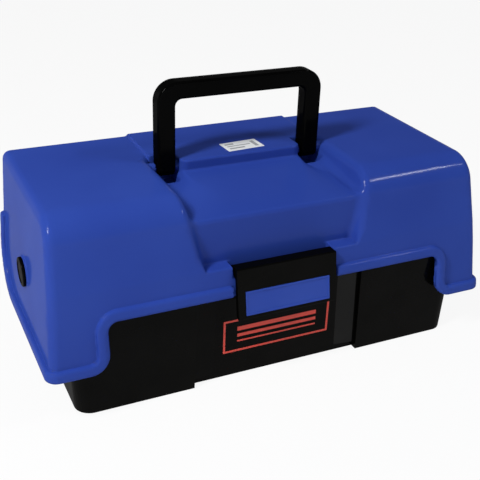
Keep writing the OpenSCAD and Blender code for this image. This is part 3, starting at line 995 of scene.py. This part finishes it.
@dataclass
class Shells:
    """The moulded shells that the fields build, and the CAD nodes that keep their shape."""

    bevel: float = 0.5
    steel_bevel: float = 0.2
    bevels: dict[str, float] = field(default_factory=lambda: {"latch": 0.9, "latch_badge": 0.2})
    bevel_angle: float = 35.0
    weld: float = 1e-6
    quick_pitch: float = 1.2
    slots: dict[str, Slot] = field(default_factory=lambda: {
        s["node"]: Slot(s["material_slot"]) for s in FRAME["record"]["subparts"]})

    def width(self, node: str) -> float:
        """How wide the node's edges are rounded, in millimetres."""
        return self.bevels.get(node, self.steel_bevel if self.slots[node] is Slot.STEEL else self.bevel)

    def cast(self, casting: Casting, body: str, node: str, material: bpy.types.Material) -> None:
        """Makes a shell from its field in place of a CAD node.

        Args:
            casting: the field.
            body: the CAD body that it rides on.
            node: the CAD node that it replaces.
            material: its finish.
        """
        piece = casting.mesh()
        dress(piece, material)
        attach(piece, body)
        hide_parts(node)

    def soften(self, piece: bpy.types.Object, width: float) -> None:
        """Rounds a CAD node's edges a little, as a mould does.

        Args:
            piece: the node's object.
            width: of the rounding, in millimetres.
        """
        weld = piece.modifiers.new("weld", "WELD")
        weld.merge_threshold = self.weld
        bevel = piece.modifiers.new("soft edges", "BEVEL")
        bevel.width = width * MM
        bevel.segments = 2
        bevel.limit_method = "ANGLE"
        bevel.angle_limit = math.radians(self.bevel_angle)
        bevel.use_clamp_overlap = True
        bevel.harden_normals = True
        bevel.miter_outer = "MITER_ARC"

    def build(self, finishes: dict[Slot, bpy.types.Material]) -> None:
        """Makes and dresses every node.

        Args:
            finishes: the material of each slot.
        """
        self.cast(LidMoulding(), "lid", "lid_shell", finishes[self.slots["lid_shell"]])
        self.cast(HandleMoulding(), "handle", "handle", HANDLE_FINISH.build())
        for node, piece in FRAME["nodes"].items():
            if piece.hide_render:
                continue
            dress(piece, finishes[self.slots[node]])
            self.soften(piece, self.width(node))
            LOG.info("%s dressed as %s", node, self.slots[node].value)


# ------------------------------------------------------------------ studio


@dataclass(frozen=True)
class Lamp:
    """Rectangular soft box: its centre, the point it faces and its size, in metres, and its watts."""

    name: str
    at: Triple
    aim: Triple
    size: Pair
    power: float

    def build(self) -> None:
        """Adds the lamp."""
        data = bpy.data.lights.new(self.name, "AREA")
        data.shape = "RECTANGLE"
        data.size, data.size_y = self.size
        data.energy = self.power
        made = bpy.data.objects.new(self.name, data)
        made.location = self.at
        made.rotation_euler = (Vector(self.aim) - Vector(self.at)).to_track_quat("-Z", "Y").to_euler()
        bpy.context.scene.collection.objects.link(made)


@dataclass
class Studio:
    """Camera at the photograph's angle, pale floor and soft lamps."""

    eye: Triple = (-0.3032, -0.6228, 0.4381)
    azimuth: float = -25.67
    elevation: float = 26.75
    roll: float = 2.05
    lens: float = 63.87
    sensor: float = 36.0
    far: float = 20.0
    horizon: Pair = (0.05, 0.35)
    overhead: float = 0.15
    dim: Colour = (0.95, 0.97, 1.0)
    dim_strength: float = 0.26
    floor_half: float = 4.0
    floor_z: float = -0.0004
    floor_tones: tuple[Colour, Colour] = ((0.9, 0.9, 0.91), (0.93, 0.93, 0.93))
    floor_seen: float = 0.9
    floor_mirrored: float = 0.6
    lamps: tuple[Lamp, ...] = (
        Lamp("key", (-0.9, -0.34, 1.07), (0, 0, 0.08), (0.2, 0.36), 13.2),
        Lamp("edge", (0.98, -0.66, 1.3), (0, 0, 0.12), (0.4, 0.07), 5.0),
        Lamp("fill", (-1.0, -1.7, 0.8), (0, 0, 0.08), (1.2, 0.6), 1.2))

    def camera(self) -> None:
        """Creates the scene's camera."""
        data = bpy.data.cameras.new("camera")
        data.lens = self.lens
        data.sensor_width = self.sensor
        data.clip_end = self.far
        made = bpy.data.objects.new("camera", data)
        a, e, r = (math.radians(v) for v in (self.azimuth, self.elevation, self.roll))
        back = Vector((math.sin(a) * math.cos(e), -math.cos(a) * math.cos(e), math.sin(e)))
        right = (-back).cross(Vector((0, 0, 1))).normalized()
        up = right.cross(-back)
        across = math.cos(r) * right + math.sin(r) * up
        upward = -math.sin(r) * right + math.cos(r) * up
        turn = Matrix((across, upward, back)).transposed().to_4x4()
        made.matrix_world = Matrix.Translation(Vector(self.eye)) @ turn
        bpy.context.scene.collection.objects.link(made)
        bpy.context.scene.camera = made

    def world(self) -> None:
        """White backdrop for the camera, darker overhead in reflections, and a dimmer even light."""
        g = Graph("studio", world=True)
        camera, bounced = g.rays()
        height = g.parts(g.node("ShaderNodeTexCoord", {}, {}, "Generated"))[2]
        strength = camera.most(height.ramp(*self.horizon, 1.0, self.overhead))
        white = g.node("ShaderNodeBackground", {}, {"Color": (1, 1, 1, 1), "Strength": strength})
        dim = g.node("ShaderNodeBackground", {}, {"Color": _rgba(self.dim), "Strength": self.dim_strength})
        seen = camera.most(bounced)
        bpy.context.scene.world = g.finish(g.node("ShaderNodeMixShader", {}, {0: seen, 1: dim, 2: white}))

    def floor(self) -> None:
        """Plain pale floor, with a faint grain."""
        bm = bmesh.new()
        bmesh.ops.create_grid(bm, x_segments=8, y_segments=8, size=self.floor_half)
        made = stand_bmesh("floor", bm)
        made.location.z = self.floor_z
        g = Graph("pale floor")
        grain = g.noise(g.place(), 6.0, 2.0)
        camera, bounced = g.rays()
        seen = camera * self.floor_seen + bounced * self.floor_mirrored
        glow = g.node("ShaderNodeEmission", {}, {"Color": (1, 1, 1, 1), "Strength": 1.0})
        matt = g.surface(Base_Color=g.mix(grain, *self.floor_tones), Roughness=0.7)
        dress(made, g.finish(g.node("ShaderNodeMixShader", {}, {0: seen, 1: matt, 2: glow})))

    def build(self) -> None:
        """Sets up the whole studio."""
        bpy.context.scene.view_settings.view_transform = "Standard"
        self.camera()
        self.world()
        self.floor()
        for lamp in self.lamps:
            lamp.build()


def main() -> None:
    """Builds the studio and every piece."""
    logging.basicConfig(level=logging.INFO, format="%(name)s: %(message)s")
    Studio().build()
    finishes = {slot: finish.build() for slot, finish in FINISHES.items()}
    Shells().build(finishes)
    RecessSlopes().build(finishes[Slot.BLACK])
    Markings().build()
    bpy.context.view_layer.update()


if __name__ == "__main__":
    main()
